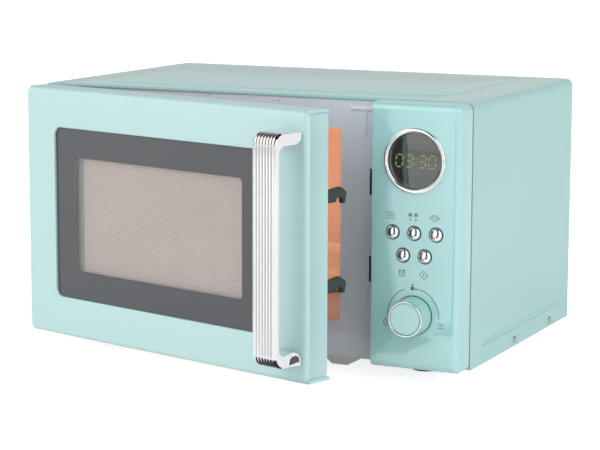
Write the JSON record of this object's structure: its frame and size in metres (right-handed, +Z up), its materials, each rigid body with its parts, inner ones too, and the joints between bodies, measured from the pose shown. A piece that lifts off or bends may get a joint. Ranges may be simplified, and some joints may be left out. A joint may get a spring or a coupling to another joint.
{
  "type": "microwave oven",
  "caption": "Table-top microwave oven with a left-hinged door ajar, chrome strap handle, round display, push buttons, dial knob and a glass turntable.",
  "frame": {"origin": "on the resting plane, at the middle of the cabinet's width and half way between the ajar door's handle and the rear", "axes": "+Z up, -Y towards the user (front), +X to the user's right"},
  "size_m": [0.4441, 0.4318, 0.251],
  "materials": {
    "mint_enamel": "semi-gloss enamel",
    "mint_plastic": "high-gloss moulding",
    "chrome_trim": "polished",
    "dark_glass": "dark printed border around a clear window",
    "tray_glass": "clear",
    "display_lens": "smoked",
    "clear_film": "clear sheet",
    "grey_enamel": "light grey cavity enamel",
    "zinc_steel": "zinc-plated sheet",
    "screw_steel": "nickel-plated",
    "spring_steel": "plain",
    "latch_plastic": "dark green-black moulding",
    "black_plastic": "satin",
    "white_plastic": "natural moulding",
    "mica": "pressed mica",
    "fin_aluminium": "bright",
    "lamp": "lamp holder and bulb",
    "motor_steel": "plated can",
    "core_iron": "varnished laminations",
    "circuit_board": "solder mask",
    "diode_black": "moulded",
    "foot_rubber": "matt"
  },
  "bodies": {
    "cabinet": {"base_pan": "zinc_steel", "capacitor": "fin_aluminium", "casing_screws": "screw_steel", "cavity_liner": "grey_enamel", "control_board": "circuit_board", "control_panel": "mint_plastic", "cord_gland": "black_plastic", "display_bezel": "chrome_trim", "display_lens": "display_lens", "display_module": "black_plastic", "encoder_body": "black_plastic", "fan_motor": "motor_steel", "fan_shroud": "white_plastic", "feet": "foot_rubber", "filter_board": "circuit_board", "front_frame": "grey_enamel", "hinge_lower": "zinc_steel", "hinge_pins": "zinc_steel", "hinge_upper": "zinc_steel", "hv_diode": "diode_black", "interlock_bracket": "white_plastic", "interlock_switches": "black_plastic", "magnetron": "fin_aluminium", "outer_casing": "mint_enamel", "oven_lamp": "lamp", "rear_panel": "zinc_steel", "thermal_cutout": "motor_steel", "transformer": "core_iron", "turntable_motor": "motor_steel", "waveguide": "zinc_steel", "waveguide_cover": "mica"},
    "door": {"door_frame": "mint_plastic", "door_glass": "dark_glass", "door_screen": "grey_enamel", "inner_film": "clear_film", "choke_cover": "latch_plastic", "handle": "chrome_trim", "handle_screws": "screw_steel", "latch_spring": "spring_steel"},
    "latch": {"latch_lever": "latch_plastic"},
    "power_button": {"button_power": "chrome_trim"},
    "defrost_button": {"button_defrost": "chrome_trim"},
    "clock_button": {"button_clock": "chrome_trim"},
    "stop_button": {"button_stop": "chrome_trim"},
    "start_button": {"button_start": "chrome_trim"},
    "knob": {"knob_body": "mint_plastic", "knob_ring": "chrome_trim", "knob_cap": "mint_plastic", "encoder_shaft": "zinc_steel"},
    "coupler": {"drive_coupler": "white_plastic"},
    "tray": {"glass_tray": "tray_glass"},
    "ring": {"roller_ring": "white_plastic"},
    "wheel_1": {"roller_1": "white_plastic"},
    "wheel_2": {"roller_2": "white_plastic"},
    "wheel_3": {"roller_3": "white_plastic"},
    "fan": {"fan_blade": "white_plastic"},
    "plunger_1": {"switch_plunger_1": "white_plastic"},
    "plunger_2": {"switch_plunger_2": "white_plastic"},
    "plunger_3": {"switch_plunger_3": "white_plastic"}
  },
  "joints": [
    {"name": "door_hinge", "type": "hinge", "parent": "cabinet", "child": "door", "pos_m": [-0.21, -0.07708, 0.13195], "axis": [0, 0, -1], "range_deg": [-15.7, 84.3]},
    {"name": "latch_slide", "type": "slide", "parent": "door", "child": "latch", "axis": [0, 0, 1], "range_m": [0, 0.0035], "stiffness_N_per_m": 400, "springref_m": -0.004, "deforming": ["latch_spring"]},
    {"name": "power_press", "type": "slide", "parent": "cabinet", "child": "power_button", "axis": [0, 1, 0], "range_m": [0, 0.001], "stiffness_N_per_m": 600, "springref_m": -0.0005},
    {"name": "defrost_press", "type": "slide", "parent": "cabinet", "child": "defrost_button", "axis": [0, 1, 0], "range_m": [0, 0.001], "stiffness_N_per_m": 600, "springref_m": -0.0005},
    {"name": "clock_press", "type": "slide", "parent": "cabinet", "child": "clock_button", "axis": [0, 1, 0], "range_m": [0, 0.001], "stiffness_N_per_m": 600, "springref_m": -0.0005},
    {"name": "stop_press", "type": "slide", "parent": "cabinet", "child": "stop_button", "axis": [0, 1, 0], "range_m": [0, 0.001], "stiffness_N_per_m": 600, "springref_m": -0.0005},
    {"name": "start_press", "type": "slide", "parent": "cabinet", "child": "start_button", "axis": [0, 1, 0], "range_m": [0, 0.001], "stiffness_N_per_m": 600, "springref_m": -0.0005},
    {"name": "knob_turn", "type": "hinge", "parent": "cabinet", "child": "knob", "pos_m": [0.17785, -0.09028, 0.064], "axis": [0, 1, 0], "continuous": true},
    {"name": "coupler_turn", "type": "hinge", "parent": "cabinet", "child": "coupler", "pos_m": [-0.05685, 0.07312, 0.045], "axis": [0, 0, 1], "continuous": true},
    {"name": "tray_lift", "type": "slide", "parent": "coupler", "child": "tray", "axis": [0, 0, 1], "range_m": [0, 0.03]},
    {"name": "ring_turn", "type": "hinge", "parent": "cabinet", "child": "ring", "pos_m": [-0.05685, 0.07312, 0.0521], "axis": [0, 0, 1], "continuous": true},
    {"name": "wheel_1_roll", "type": "hinge", "parent": "ring", "child": "wheel_1", "pos_m": [0.0303, 0.07312, 0.0521], "axis": [1, 0, 0], "continuous": true},
    {"name": "wheel_2_roll", "type": "hinge", "parent": "ring", "child": "wheel_2", "pos_m": [-0.10043, 0.1486, 0.0521], "axis": [-0.5, 0.866, 0], "continuous": true},
    {"name": "wheel_3_roll", "type": "hinge", "parent": "ring", "child": "wheel_3", "pos_m": [-0.10043, -0.00235, 0.0521], "axis": [-0.5, -0.866, 0], "continuous": true},
    {"name": "fan_spin", "type": "hinge", "parent": "cabinet", "child": "fan", "pos_m": [0.1533, 0.18442, 0.157], "axis": [0, 1, 0], "continuous": true},
    {"name": "plunger_1_press", "type": "slide", "parent": "cabinet", "child": "plunger_1", "axis": [0, 1, 0], "range_m": [0, 0.0015], "stiffness_N_per_m": 300, "springref_m": -0.0005},
    {"name": "plunger_2_press", "type": "slide", "parent": "cabinet", "child": "plunger_2", "axis": [0, 1, 0], "range_m": [0, 0.0015], "stiffness_N_per_m": 300, "springref_m": -0.0005},
    {"name": "plunger_3_press", "type": "slide", "parent": "cabinet", "child": "plunger_3", "axis": [0, 1, 0], "range_m": [0, 0.0015], "stiffness_N_per_m": 300, "springref_m": -0.0005}
  ],
  "couplings": [
    {"joint": "ring_turn", "follows": "coupler_turn", "ratio": 0.5},
    {"joint": "wheel_1_roll", "follows": "coupler_turn", "ratio": -6.225},
    {"joint": "wheel_2_roll", "follows": "coupler_turn", "ratio": -6.225},
    {"joint": "wheel_3_roll", "follows": "coupler_turn", "ratio": -6.225}
  ]
}
